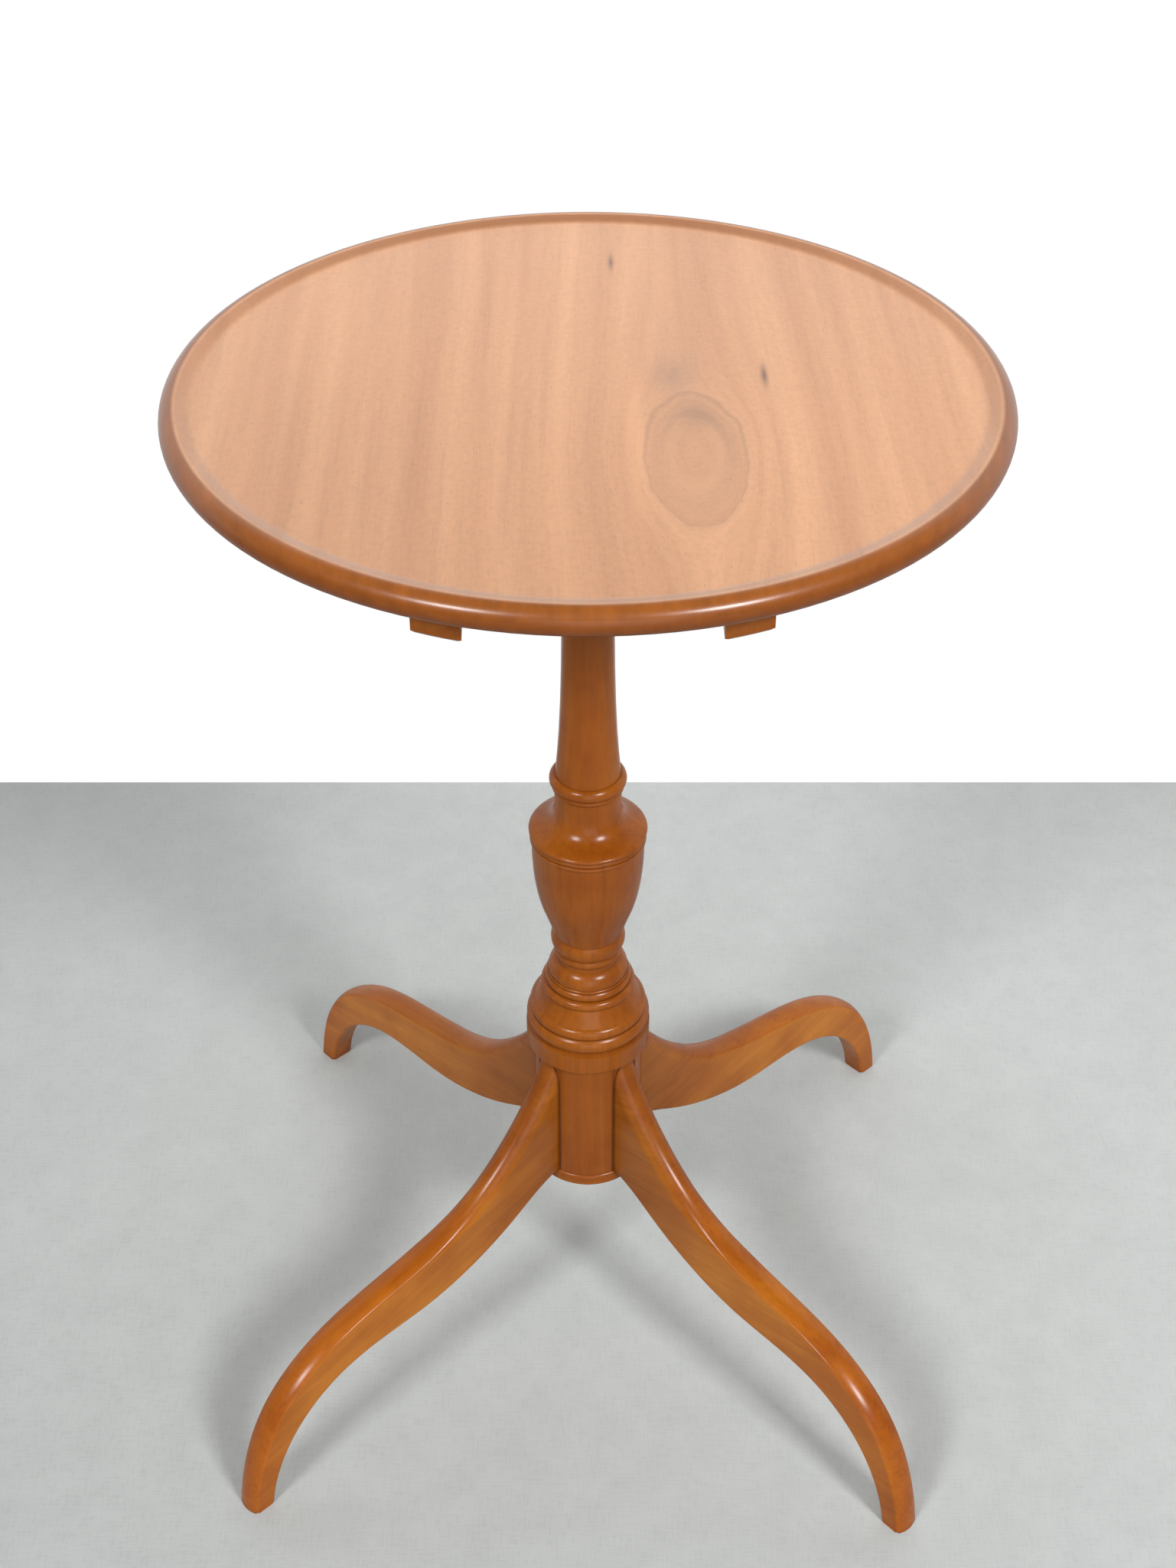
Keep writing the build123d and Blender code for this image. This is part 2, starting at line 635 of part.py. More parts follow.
def bolt_plate():
    """Brass plate under the board that carries the sliding bolt."""
    half = PLATE_WIDTH / 2
    plate = block(
        (-half, half),
        (PLATE_FRONT, PLATE_FRONT + PLATE_LENGTH),
        (BOARD_UNDERSIDE - PLATE_THICKNESS, BOARD_UNDERSIDE),
    )
    plate = fillet(plate.edges().filter_by(Axis.Z), 2 * PLATE_THICKNESS)
    return plate - small_screw_holes(plate_screw_places())


def bolt_guides():
    """Two bridges riveted to the plate, which the bolt slides through."""
    top = BOARD_UNDERSIDE - PLATE_THICKNESS
    inner = BAR_WIDTH / 2 + BAR_GAP
    outer = inner + GUIDE_WALL
    low = BAR_BOTTOM - BAR_GAP
    length = (-GUIDE_LENGTH / 2, GUIDE_LENGTH / 2)
    bridge = block((-outer, outer), length, (low - GUIDE_WALL, top))
    bridge = fillet(bridge.faces().sort_by(Axis.Z)[0].edges().filter_by(Axis.Y), GUIDE_WALL)
    bridge += block((-outer - GUIDE_FOOT, outer + GUIDE_FOOT), length, (top - GUIDE_WALL, top))
    bridge -= block((-inner, inner), length, (low, top))
    places = [Pos(0, PLATE_MIDDLE + step * GUIDE_SPACING / 2, 0) for step in (-1, 1)]
    return Compound(placed(bridge, places))


def bolt_leaf_spring():
    """Bowed leaf between the plate and the bolt, which keeps the bolt where it is pushed."""
    top = BOARD_UNDERSIDE - PLATE_THICKNESS
    half = LEAF_LENGTH / 2
    rise = LEAF_BOW
    outer = ThreePointArc((-half, top), (0, top - rise), (half, top))
    thick = LEAF_THICKNESS
    inner = ThreePointArc((-half, top - thick), (0, top - rise - thick), (half, top - thick))
    edges = [outer, Line(outer @ 1, inner @ 1), inner, Line(inner @ 0, outer @ 0)]
    leaf = extrude(Plane.YZ * make_face(edges), LEAF_WIDTH / 2, both=True)
    return Pos(0, PLATE_MIDDLE, 0) * leaf


def bolt_bar():
    """Flat bolt with a rounded tip, drawn back clear of the strike plate."""
    bar = block(
        (-BAR_WIDTH / 2, BAR_WIDTH / 2), (BAR_TIP, BAR_TIP + BAR_LENGTH), (BAR_BOTTOM, BAR_TOP)
    )
    tip = bar.faces().sort_by(Axis.Y)[0].edges().filter_by(Axis.Z)
    bar = fillet(tip, BAR_WIDTH / 5)
    return bar - Pos(0, KNOB_PLACE, 0) * rod(KNOB_STEM_RADIUS + FIXED_GAP, BAR_BOTTOM, BAR_TOP)


def bolt_knob():
    """Turned knob riveted through the bolt, to pull it by."""
    collar = BAR_BOTTOM - KNOB_STEM_LENGTH
    ball = collar - KNOB_RADIUS
    knob = turned(
        (0, ball - KNOB_RADIUS),
        [
            bow((KNOB_RADIUS, ball), KNOB_RADIUS * (1 - cos(radians(45)))),
            bow((KNOB_STEM_RADIUS, collar), KNOB_RADIUS * (1 - cos(radians(35)))),
            straight((KNOB_STEM_RADIUS, BAR_TOP)),
            straight((0, BAR_TOP)),
        ],
    )
    return Pos(0, KNOB_PLACE, 0) * knob


def strike_plate():
    """Brass plate on the back of the block with the slot that the bolt enters."""
    middle = (BAR_TOP + BAR_BOTTOM) / 2
    top = BLOCK_TOP - SEAT_GAP
    plate = block(
        (-STRIKE_WIDTH / 2, STRIKE_WIDTH / 2),
        (BLOCK_DEPTH / 2, STRIKE_FACE),
        (top - STRIKE_HEIGHT, top),
    )
    plate = fillet(plate.edges().filter_by(Axis.Y), STRIKE_THICKNESS)
    slot = Pos(0, STRIKE_FACE, middle) * Box(
        BAR_WIDTH + 2 * BAR_GAP, 3 * STRIKE_THICKNESS, BAR_THICKNESS + 2 * BAR_GAP
    )
    return plate - slot - small_screw_holes(strike_screw_places())


SIDES = {"left": -1, "right": 1}

nodes = {
    "top_board": top_board(),
    "bearer_screws": bearer_screws(),
    "hinge_block": hinge_block(),
    "pillar": pillar(),
    "tenon_wedge": tenon_wedge(),
    "base_disc": base_disc(),
    "disc_screws": disc_screws(),
    "bolt_plate": bolt_plate(),
    "bolt_plate_screws": small_screws(plate_screw_places()),
    "bolt_guides": bolt_guides(),
    "bolt_leaf_spring": bolt_leaf_spring(),
    "bolt_bar": bolt_bar(),
    "bolt_knob": bolt_knob(),
    "strike_plate": strike_plate(),
    "strike_screws": small_screws(strike_screw_places()),
}
for name, side in SIDES.items():
    nodes["bearer_" + name] = bearer(side)
    nodes["pivot_pin_" + name] = pivot_pin(side)
for name, quarter in LEG_QUARTERS.items():
    nodes["leg_" + name] = leg(quarter + LEG_TURN)

os.makedirs("parts", exist_ok=True)
for name, shape in nodes.items():
    export_step(shape, "parts/" + name + ".step")
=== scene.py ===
"""Tilt top table: finishes, turned and carved forms, and a pale studio around the fixed frame."""
from math import cos, hypot, pi, radians, sin, sqrt

import bmesh
import bpy
import numpy as np
from bpy.props import FloatProperty, FloatVectorProperty, PointerProperty
from bpy.types import Operator, Panel, PropertyGroup
from mathutils import Matrix, Vector
from mathutils.bvhtree import BVHTree


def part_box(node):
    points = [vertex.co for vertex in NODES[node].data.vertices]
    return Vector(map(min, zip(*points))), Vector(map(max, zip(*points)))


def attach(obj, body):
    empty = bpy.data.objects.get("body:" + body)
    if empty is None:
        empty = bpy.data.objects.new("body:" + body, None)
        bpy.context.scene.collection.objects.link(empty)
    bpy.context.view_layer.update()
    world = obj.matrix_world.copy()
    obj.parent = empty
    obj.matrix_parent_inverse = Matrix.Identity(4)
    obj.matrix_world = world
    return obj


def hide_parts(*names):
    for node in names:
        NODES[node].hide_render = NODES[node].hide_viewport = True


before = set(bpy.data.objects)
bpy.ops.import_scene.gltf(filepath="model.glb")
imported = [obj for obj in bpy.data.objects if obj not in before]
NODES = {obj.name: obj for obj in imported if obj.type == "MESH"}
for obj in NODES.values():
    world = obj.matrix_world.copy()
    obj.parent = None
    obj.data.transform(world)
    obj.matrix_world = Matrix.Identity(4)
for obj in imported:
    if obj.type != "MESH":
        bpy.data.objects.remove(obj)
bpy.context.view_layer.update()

bl_info = {
    "name": "Tilt Top Table",
    "version": (1, 0, 0),
    "blender": (4, 5, 0),
    "location": "3D View > Sidebar > Table",
    "description": "Dresses a tilt top table: varnished wood, aged brass and a pale studio",
    "category": "Object",
}

MM = 0.001

# Board: the knot and the marks near it, as places and sizes in metres
KNOT_X = 0.0545
KNOT_WIDEST_Y = -0.070
KNOT_HALF_WIDTH = 0.0265
KNOT_BACK = 0.058
KNOT_FRONT = 0.079
KNOT_BROWN = (0.22, 0.115, 0.062)
KNOT_GLOW = (0.80, 0.40, 0.19)
CLOUD_BROWN = (0.24, 0.14, 0.085)
CLOUDS = (((0.046, 0.010), (0.012, 0.020), 0.40), ((0.050, 0.045), (0.020, 0.070), 0.10))
FLECK_BROWN = (0.10, 0.045, 0.025)
FLECKS = (((0.0155, 0.157), (0.0016, 0.010), 0.75), ((0.0965, 0.0105), (0.0019, 0.012), 0.8))

# Board: the stained rim, its cove stain painted stronger at the back as shade, and the darkening towards its
# bottom, as heights in metres and shares of the radius
COVE_BROWN = (0.27, 0.098, 0.030)
COVE_BAND = [(0.918, 0.0), (0.940, 1.0), (0.955, 1.0), (0.963, 0.0)]
STAIN_EDGE = [(0.962, 0.0), (0.969, 1.0)]
UNDERSIDE_DARK_HEIGHT = 0.0125
BELLY_DARK_HEIGHT = 0.0165

# Legs
LEG_QUARTERS = {"front_right": -45, "back_right": 45, "back_left": 135, "front_left": -135}
LEG_TURN = -2.7
LEG_GRAIN_SLOPE = radians(18)
LEG_STATIONS = 150
LEAST_SQUARENESS = 0.35
SKIN_RAYS = 160
SKIN_RAYS_AT_FOOT = 60
UPPER_RAYS_REACH = 0.88
LOWER_RAYS_REACH = 0.78
RAYS_START = 0.2 * MM
CLEAR_OF_EDGE = 0.1 * MM
FOOT_FROM = 0.9
ROOT_LENGTH = 40 * MM
EASING_PASSES = 12
CROWN_LEAN = radians(28)
ARRIS_STOPS = (60 * MM, 115 * MM)
ARRIS_RADII = (9.2 * MM, 8.8 * MM, 2.2 * MM)
LOWER_ARRIS = 2.2 * MM
EDGE_HOLD = 0.5 * MM
HUB_GROOVE = 0.5 * MM
HUB_GAP = 0.02 * MM
SOLE_ROUND = 1.3 * MM
# Tone of a leg by distance from the pillar's axis: dark at the hub and the foot, golden between
LEG_TONE = [
    (0.045, (0.62, 0.56, 0.58)),
    (0.11, (0.88, 0.85, 0.84)),
    (0.17, (1.08, 1.12, 1.10)),
    (0.26, (1.0, 0.98, 0.95)),
    (0.31, (0.84, 0.72, 0.62)),
]
# Painted light on a leg by how far its skin faces up: sides painted lighter and golden, top darker and redder
LEG_PAINTED_SIDE_LIGHT = [(0.15, (1.25, 1.32, 1.20)), (0.60, (0.97, 0.88, 0.72))]

# Studio
SHEET_HALF_WIDTH = 6.0
WALL_HEIGHT = 1.7
LAMP_PLACE = (1.88, -2.48, 2.95)
LAMP_AIM = (0.0, 0.0, 0.5)
LAMP_SIZE = 0.8
LAMP_SHARES = ((-1, 0.85), (1, 1.15))
FILL_PLACE = (0.2, -2.4, 0.7)
FILL_AIM = (0.0, 0.0, 0.35)
FILL_SIZE = 1.5
SKY_STRENGTH = 0.30


def colour_prop(name, description, default):
    """Property for a linear colour."""
    return FloatVectorProperty(
        name=name, description=description, subtype="COLOR", size=3, min=0.0, max=1.0, default=default
    )


def length_prop(name, description, default):
    """Property for a length in metres."""
    return FloatProperty(
        name=name, description=description, subtype="DISTANCE", unit="LENGTH", default=default
    )


class TableFinish(PropertyGroup):
    """Colours and gloss of the table."""

    top_light: colour_prop("Top, light", "Light growth bands of the board", (0.62, 0.310, 0.150))
    top_dark: colour_prop("Top, dark", "Dark growth bands of the board", (0.49, 0.222, 0.100))
    rim: colour_prop("Rim", "Stained rim of the board", (0.27, 0.075, 0.006))
    wood_light: colour_prop("Pillar, light", "Light figure of pillar and bearers", (0.252, 0.068, 0.005))
    wood_dark: colour_prop("Pillar, dark", "Dark figure of pillar and bearers", (0.190, 0.047, 0.003))
    leg_light: colour_prop("Legs, light", "Light figure of the legs", (0.345, 0.108, 0.010))
    leg_dark: colour_prop("Legs, dark", "Dark figure of the legs", (0.255, 0.069, 0.006))
    # The joint colour darkens the varnish in joints and grooves; it is also the painted shade laid in
    # hollows, and it darkens the bottom of the board
    joint_grime_and_shade: colour_prop("Joints", "Darkened varnish in the joints and grooves", (0.11, 0.024, 0.004))
    brass: colour_prop("Brass", "Aged brass of the catch", (0.55, 0.36, 0.13))
    steel: colour_prop("Steel", "Plain steel of the pins and screws", (0.42, 0.42, 0.43))
    disc_overhang: length_prop("Disc overhang", "How far the disc under the hub stands out", 0.0013)
    varnish: FloatProperty(
        name="Varnish", description="Weight of the clear coat", subtype="FACTOR", min=0.0, max=1.0,
        default=0.62,
    )


class TableStudio(PropertyGroup):
    """Camera, lamps and floor of the studio."""

    camera_distance: length_prop("Camera distance", "Level distance from the pillar", 1.092)
    camera_height: length_prop("Camera height", "Height above the floor", 1.281)
    camera_pitch: FloatProperty(
        name="Camera pitch", description="How far the camera looks down", subtype="ANGLE",
        default=radians(37.5),
    )
    camera_swing: FloatProperty(
        name="Camera swing", description="How far the camera stands to the right", subtype="ANGLE",
        default=radians(-0.7),
    )
    camera_lens: FloatProperty(
        name="Lens", description="Focal length on a frame 36 mm wide", subtype="DISTANCE_CAMERA",
        default=68.23,
    )
    wall_distance: length_prop("Wall distance", "Distance of the white wall behind the pillar", 0.580)
    floor: colour_prop("Floor", "Pale grey floor", (0.39, 0.404, 0.400))
    lamp_power: FloatProperty(
        name="Lamp power", description="Power of each of the two lamps", subtype="POWER", default=112.0
    )
    fill_power: FloatProperty(
        name="Fill power", description="Power of the soft fill in front", subtype="POWER", default=12.0
    )


def scaled(colour, share):
    """Colour times a share."""
    return tuple(share * c for c in colour)


def finish():
    """Finish settings of the scene."""
    return bpy.context.scene.table_finish


def studio():
    """Studio settings of the scene."""
    return bpy.context.scene.table_studio


class Paint:
    """Node tree of one material, built from coordinates to shader."""

    def __init__(self, name):
        self.material = bpy.data.materials.new(name)
        self.material.use_nodes = True
        self.tree = self.material.node_tree
        self.tree.nodes.clear()
        self.output = self.tree.nodes.new("ShaderNodeOutputMaterial")

    def add(self, kind, inputs=None, **settings):
        """New node; inputs are values or the sockets of other nodes."""
        node = self.tree.nodes.new("ShaderNode" + kind)
        for key, value in settings.items():
            setattr(node, key, value)
        for key, value in (inputs or {}).items():
            self.feed(node.inputs[key], value)
        return node

    def feed(self, socket, value):
        """Sets a socket to a value, or links it to another node's socket."""
        if isinstance(value, bpy.types.NodeSocket):
            self.tree.links.new(value, socket)
        elif hasattr(value, "__len__") and socket.type == "RGBA" and len(value) == 3:
            socket.default_value = (*value, 1.0)
        else:
            socket.default_value = value

    def math(self, operation, first, second=0.0, third=0.0, clamp=False):
        """Result of a maths node."""
        node = self.add("Math", {0: first, 1: second, 2: third}, operation=operation, use_clamp=clamp)
        return node.outputs[0]

    def ramp(self, factor, stops, interpolation="LINEAR"):
        """Colour ramp through (position, value) stops; a value is a grey level or a colour."""
        node = self.add("ValToRGB", {"Fac": factor})
        node.color_ramp.interpolation = interpolation
        elements = node.color_ramp.elements
        while len(elements) < len(stops):
            elements.new(0.5)
        for element, (position, value) in zip(elements, stops):
            element.position = position
            grey = isinstance(value, (int, float))
            element.color = (value, value, value, 1.0) if grey else (*value, 1.0)
        return node.outputs["Color"]

    def mix(self, factor, first, second, blend="MIX"):
        """Mix of two colours."""
        node = self.add("Mix", {0: factor, 6: first, 7: second}, data_type="RGBA", blend_type=blend)
        return node.outputs[2]

    def tint(self, amount, colour, factor, stops):
        """Colour multiplied by a ramp, by an amount."""
        return self.mix(amount, colour, self.ramp(factor, stops), "MULTIPLY")

    def noise(self, vector, scale, detail=3.0, roughness=0.5, distortion=0.0):
        """Grey noise."""
        inputs = {
            "Vector": vector, "Scale": scale, "Detail": detail, "Roughness": roughness,
            "Distortion": distortion,
        }
        return self.add("TexNoise", inputs).outputs["Fac"]

    def place(self, vector, scale=(1, 1, 1), turn=(0, 0, 0), move=(0, 0, 0)):
        """Coordinates moved, turned and scaled."""
        inputs = {"Vector": vector, "Location": move, "Rotation": turn, "Scale": scale}
        return self.add("Mapping", inputs).outputs[0]

    def coordinates(self):
        """Coordinates of the surface in the table's own frame."""
        return self.add("TexCoord").outputs["Object"]

    def shader(self, **inputs):
        """Principled shader joined to the output."""
        named = {key.replace("_", " "): value for key, value in inputs.items()}
        node = self.add("BsdfPrincipled", named)
        self.tree.links.new(node.outputs[0], self.output.inputs["Surface"])
        return node

    def bump(self, height, distance, strength=1.0, normal=None):
        """Normal raised by a height."""
        inputs = {"Height": height, "Distance": distance, "Strength": strength}
        if normal is not None:
            inputs["Normal"] = normal
        return self.add("Bump", inputs).outputs[0]


def wood_grain(paint, along, stretch=0.07, scale=60.0, seed=0.0):
    """Fine fibres and broad figure that run along an axis turned by the Euler angles given."""
    spot = paint.place(paint.coordinates(), turn=along, move=(seed, 0.3 * seed, 0.7 * seed))
    fibre = paint.place(spot, scale=(stretch, 1.0, 1.0))
    figure = paint.noise(fibre, scale, 4.0, 0.6, 0.4)
    streak = paint.noise(paint.place(fibre, scale=(0.5, 1.0, 1.0)), 7.0 * scale, 3.0, 0.6)
    pore = paint.noise(paint.place(spot, scale=(0.06, 1.0, 1.0)), 26.0 * scale, 2.0, 0.5)
    return figure, streak, pore


def varnished(paint, colour, streak, pore, gloss=0.30, coat=None, sheen=0.0, index=1.42):
    """Varnished wood over a colour: satin fibres under a clear coat with hand-rubbed unevenness."""
    settings = finish()
    rub = paint.noise(paint.coordinates(), 9.0, 3.0, 0.6)
    rough = paint.math("MULTIPLY_ADD", rub, 0.16, gloss - 0.08)
    rough = paint.math("MULTIPLY_ADD", streak, 0.06, rough)
    soft = paint.add("Bevel", {"Radius": 0.0006}, samples=4).outputs[0]
    fine = paint.bump(paint.ramp(pore, [(0.30, 0.0), (0.42, 1.0)]), 0.00004, 0.6, soft)
    wave = paint.bump(rub, 0.0006, 0.25, fine)
    return paint.shader(
        Base_Color=colour, Roughness=rough, Normal=wave, Specular_IOR_Level=sheen,
        Coat_Weight=settings.varnish if coat is None else coat, Coat_Roughness=0.24, Coat_IOR=index,
    )


def hollow_grime_and_shade(paint, colour, amount=0.5):
    """Colour darkened in grooves, joints and hollows found by ambient occlusion: painted shade there, with
    the dirt and old varnish that gather in them.
    """
    # Ambient occlusion finds the hollows where painted shade and dirt are laid
    hollow = paint.add("AmbientOcclusion", {"Distance": 0.012}, samples=6, only_local=False).outputs["AO"]
    grime_and_shade = paint.ramp(hollow, [(0.35, 1.0), (0.85, 0.0)])
    return paint.mix(paint.math("MULTIPLY", grime_and_shade, amount), colour, tuple(finish().joint_grime_and_shade))


def plain_wood(name, along, seed, scale=60.0, light=None, dark=None, gloss=0.30, shade=0.55, tone=None):
    """Varnished wood with straight grain along an axis turned by the Euler angles given, and a leg's tone
    with painted light on its sides.
    """
    settings = finish()
    light = light or settings.wood_light
    dark = dark or settings.wood_dark
    paint = Paint(name)
    figure, streak, pore = wood_grain(paint, along, scale=scale, seed=seed)
    band = paint.ramp(figure, [(0.26, tuple(dark)), (0.74, tuple(light))])
    colour = paint.tint(0.8, band, streak, [(0.34, 0.86), (0.52, 1.0), (0.72, 1.06)])
    blotch = paint.noise(paint.coordinates(), 19.0, 3.0, 0.55)
    warmth = [(0.34, (0.84, 0.74, 0.62)), (0.50, (1.0, 1.0, 1.0)), (0.66, (1.10, 1.18, 1.24))]
    colour = paint.tint(0.75, colour, blotch, warmth)
    if tone:
        flat = {0: paint.coordinates(), 1: (1.0, 1.0, 0.0)}
        ground = paint.add("VectorMath", flat, operation="MULTIPLY").outputs[0]
        out = paint.add("VectorMath", {0: ground}, operation="LENGTH").outputs["Value"]
        colour = paint.tint(1.0, colour, out, tone)
        # Painted light: a leg's sides lighter and golden, its top darker, by how far the skin faces up
        up = paint.add("SeparateXYZ", {0: paint.add("NewGeometry").outputs["Normal"]}).outputs[2]
        colour = paint.tint(1.0, colour, up, LEG_PAINTED_SIDE_LIGHT)
    colour = paint.tint(0.55, colour, pore, [(0.30, 0.74), (0.38, 1.0)])
    # Painted shade and dirt darken the hollows and joints of the wood
    varnished(paint, hollow_grime_and_shade(paint, colour, shade), streak, pore, gloss)
    return paint.material


def metal(name, colour, rough=0.32):
    """Aged metal with fine scratches and dull patches."""
    paint = Paint(name)
    spot = paint.coordinates()
    patch = paint.noise(spot, 180.0, 5.0, 0.65)
    scratch = paint.noise(paint.place(spot, scale=(1.0, 0.05, 1.0)), 2600.0, 2.0, 0.5)
    tint = paint.mix(paint.ramp(patch, [(0.42, 0.0), (0.72, 0.75)]), colour, scaled(colour, 0.45))
    tint = hollow_grime_and_shade(paint, tint, 0.5)
    level = paint.math("MULTIPLY_ADD", patch, 0.3, rough - 0.12)
    paint.shader(
        Base_Color=tint, Metallic=1.0, Roughness=level, Normal=paint.bump(scratch, 0.00002, 0.35)
    )
    return paint.material


def offset(paint, value, middle, size):
    """Signed distance from a middle, as a share of a size."""
    return paint.math("DIVIDE", paint.math("SUBTRACT", value, middle), size)


def hill(paint, x, y, middle, size):
    """Smooth round hill around a point, 1 at its top."""
    across = offset(paint, x, middle[0], size[0])
    along = offset(paint, y, middle[1], size[1])
    square = paint.math("ADD", paint.math("MULTIPLY", across, across), paint.math("MULTIPLY", along, along))
    return paint.math("EXPONENT", paint.math("MULTIPLY", square, -1.0))


def line_at(paint, value, place, width):
    """Soft line where a value passes a place."""
    away = offset(paint, value, place, width)
    return paint.math("EXPONENT", paint.math("MULTIPLY", paint.math("MULTIPLY", away, away), -1.0))


def knot_field(paint, x, y, wobble):
    """Eye of a knot, 0 at its heart and 1 at its outline: round at the back, pointed in front."""
    across = offset(paint, x, KNOT_X, KNOT_HALF_WIDTH)
    along = offset(paint, y, KNOT_WIDEST_Y, 1.0)
    back = paint.math("DIVIDE", paint.math("MAXIMUM", along, 0.0), KNOT_BACK)
    front = paint.math("DIVIDE", paint.math("MAXIMUM", paint.math("MULTIPLY", along, -1.0), 0.0), KNOT_FRONT)
    length = paint.math("ADD", back, paint.math("POWER", front, 1.25))
    squares = [paint.math("POWER", paint.math("ABSOLUTE", across), 2.0), paint.math("POWER", length, 2.0)]
    return paint.math("ADD", paint.math("SQRT", paint.math("ADD", *squares)), wobble)


def board_wood(radius):
    """Pinkish tan board: straight grain front to back that flows round one knot, and a stained rim, with
    painted shade towards the front left and in the cove at the back.
    """
    settings = finish()
    paint = Paint("board_varnish")
    spot = paint.coordinates()
    x, y, z = paint.add("SeparateXYZ", {0: spot}).outputs
    drift = paint.noise(paint.place(spot, scale=(1.0, 0.3, 1.0)), 6.0, 2.0, 0.5)
    wobble = paint.math("MULTIPLY", paint.math("SUBTRACT", paint.noise(spot, 42.0, 2.0, 0.5), 0.5), 0.22)
    eye = knot_field(paint, x, y, wobble)
    outside = paint.math("GREATER_THAN", eye, 1.0)
    pull = paint.math("DIVIDE", 1.0, paint.math("POWER", paint.math("MAXIMUM", eye, 1.0), 2.4))
    away = paint.math("SUBTRACT", x, KNOT_X)
    around = paint.math("MULTIPLY", away, paint.math("SUBTRACT", 1.0, pull))
    around = paint.math("MULTIPLY_ADD", paint.math("SUBTRACT", drift, 0.5), 0.016, around)
    within = paint.math("MULTIPLY_ADD", eye, 0.030, 0.4)
    lane = paint.add("Mix", {0: outside, 2: within, 3: around}, data_type="FLOAT").outputs[0]
    flow = paint.add("CombineXYZ", {0: lane, 1: paint.math("MULTIPLY", y, 0.03), 2: 0.0}).outputs[0]
    broad = paint.noise(flow, 38.0, 2.0, 0.5)
    rings = paint.noise(flow, 170.0, 3.0, 0.6)
    fine = paint.noise(paint.place(flow, scale=(1.0, 2.2, 1.0)), 760.0, 2.0, 0.6)
    pore = paint.noise(paint.place(spot, scale=(1.0, 0.12, 1.0)), 1500.0, 2.0, 0.5)
    mottle = paint.noise(spot, 260.0, 3.0, 0.65)
    light = tuple(settings.top_light)
    dark = tuple(settings.top_dark)
    middle = tuple((a + b) / 2 for a, b in zip(light, dark))
    colour = paint.ramp(broad, [(0.30, dark), (0.5, middle), (0.70, light)])
    for amount, factor, stops in (
        (0.55, rings, [(0.28, 0.86), (0.48, 1.0), (0.74, 1.07)]),
        (0.42, fine, [(0.30, 0.88), (0.52, 1.0), (0.76, 1.05)]),
        (0.55, mottle, [(0.34, 0.90), (0.52, 1.0), (0.70, 1.05)]),
        (0.45, pore, [(0.27, 0.66), (0.36, 1.0)]),
    ):
        colour = paint.tint(amount, colour, factor, stops)
    glow = hill(paint, x, y, (0.0245, -0.060), (0.0055, 0.070))
    colour = paint.mix(paint.math("MULTIPLY", glow, 0.30), colour, KNOT_GLOW)
    core = hill(paint, x, y, (0.057, -0.036), (0.010, 0.015))
    outline = line_at(paint, eye, 1.0, 0.045)
    outline = paint.math("MULTIPLY", outline, hill(paint, x, y, (0.056, -0.050), (0.05, 0.080)))
    inner = line_at(paint, eye, 0.66, 0.10)
    inner = paint.math("MULTIPLY", inner, hill(paint, x, y, (0.064, -0.045), (0.03, 0.055)))
    shade = paint.math("MULTIPLY", paint.math("SUBTRACT", 1.0, outside), 0.10)
    for amount, weight in ((outline, 0.42), (inner, 0.34), (core, 0.38), (shade, 1.0)):
        colour = paint.mix(paint.math("MULTIPLY", amount, weight), colour, KNOT_BROWN)
    for marks, brown in ((CLOUDS, CLOUD_BROWN), (FLECKS, FLECK_BROWN)):
        for place, size, depth in marks:
            mark = hill(paint, x, y, place, size)
            colour = paint.mix(paint.math("MULTIPLY", mark, depth), colour, brown)
    ground = paint.add("CombineXYZ", {0: x, 1: y, 2: 0.0}).outputs[0]
    reach = paint.add("VectorMath", {0: ground}, operation="LENGTH")
    far = paint.math("DIVIDE", reach.outputs["Value"], radius)
    ring_figure = paint.noise(paint.place(spot, scale=(1.0, 0.10, 1.0)), 120.0, 3.0, 0.6)
    rim = tuple(settings.rim)
    stain = paint.ramp(ring_figure, [(0.3, scaled(rim, 0.72)), (0.7, rim)])
    # Painted shade: the board darker towards the front left, where less light falls
    painted_falloff = paint.math("ADD", paint.math("MULTIPLY", x, 0.55), y)
    colour = paint.tint(1.0, colour, offset(paint, painted_falloff, -0.25, 0.40), [(0.0, 0.84), (0.6, 0.97), (1.0, 1.0)])
    # The cove's stain, painted stronger towards the back as painted shade
    behind = paint.ramp(offset(paint, y, -0.22, 0.44), [(0.0, 0.25), (0.55, 0.38), (1.0, 0.95)])
    cove_stain_and_shade = paint.math("MULTIPLY", paint.ramp(far, COVE_BAND, "EASE"), behind)
    colour = paint.mix(cove_stain_and_shade, colour, COVE_BROWN)
    edge = paint.ramp(far, STAIN_EDGE)
    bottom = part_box("top_board")[0].z
    # Darker towards the bottom: the underside and the lower half of the rim
    low = paint.ramp(offset(paint, z, bottom, UNDERSIDE_DARK_HEIGHT), [(0.0, 1.0), (1.0, 0.0)])
    lower_rim_dark = paint.ramp(offset(paint, z, bottom, BELLY_DARK_HEIGHT), [(0.0, 1.0), (0.60, 0.78), (1.0, 0.0)])
    low = paint.math("MAXIMUM", low, paint.math("MULTIPLY", edge, lower_rim_dark))
    stain = paint.mix(paint.math("MULTIPLY", low, 0.62), stain, tuple(settings.joint_grime_and_shade))
    colour = paint.mix(paint.math("MAXIMUM", edge, low), colour, stain)
    coat = paint.math("SUBTRACT", 1.0, paint.math("MULTIPLY", low, 0.92))
    varnished(paint, hollow_grime_and_shade(paint, colour, 0.3), fine, pore, 0.36, coat=coat, sheen=0.12, index=1.5)
    return paint.material


def dress(material, *names):
    """Gives a material to CAD pieces."""
    for name in names:
        mesh = NODES[name].data
        mesh.materials.clear()
        mesh.materials.append(material)


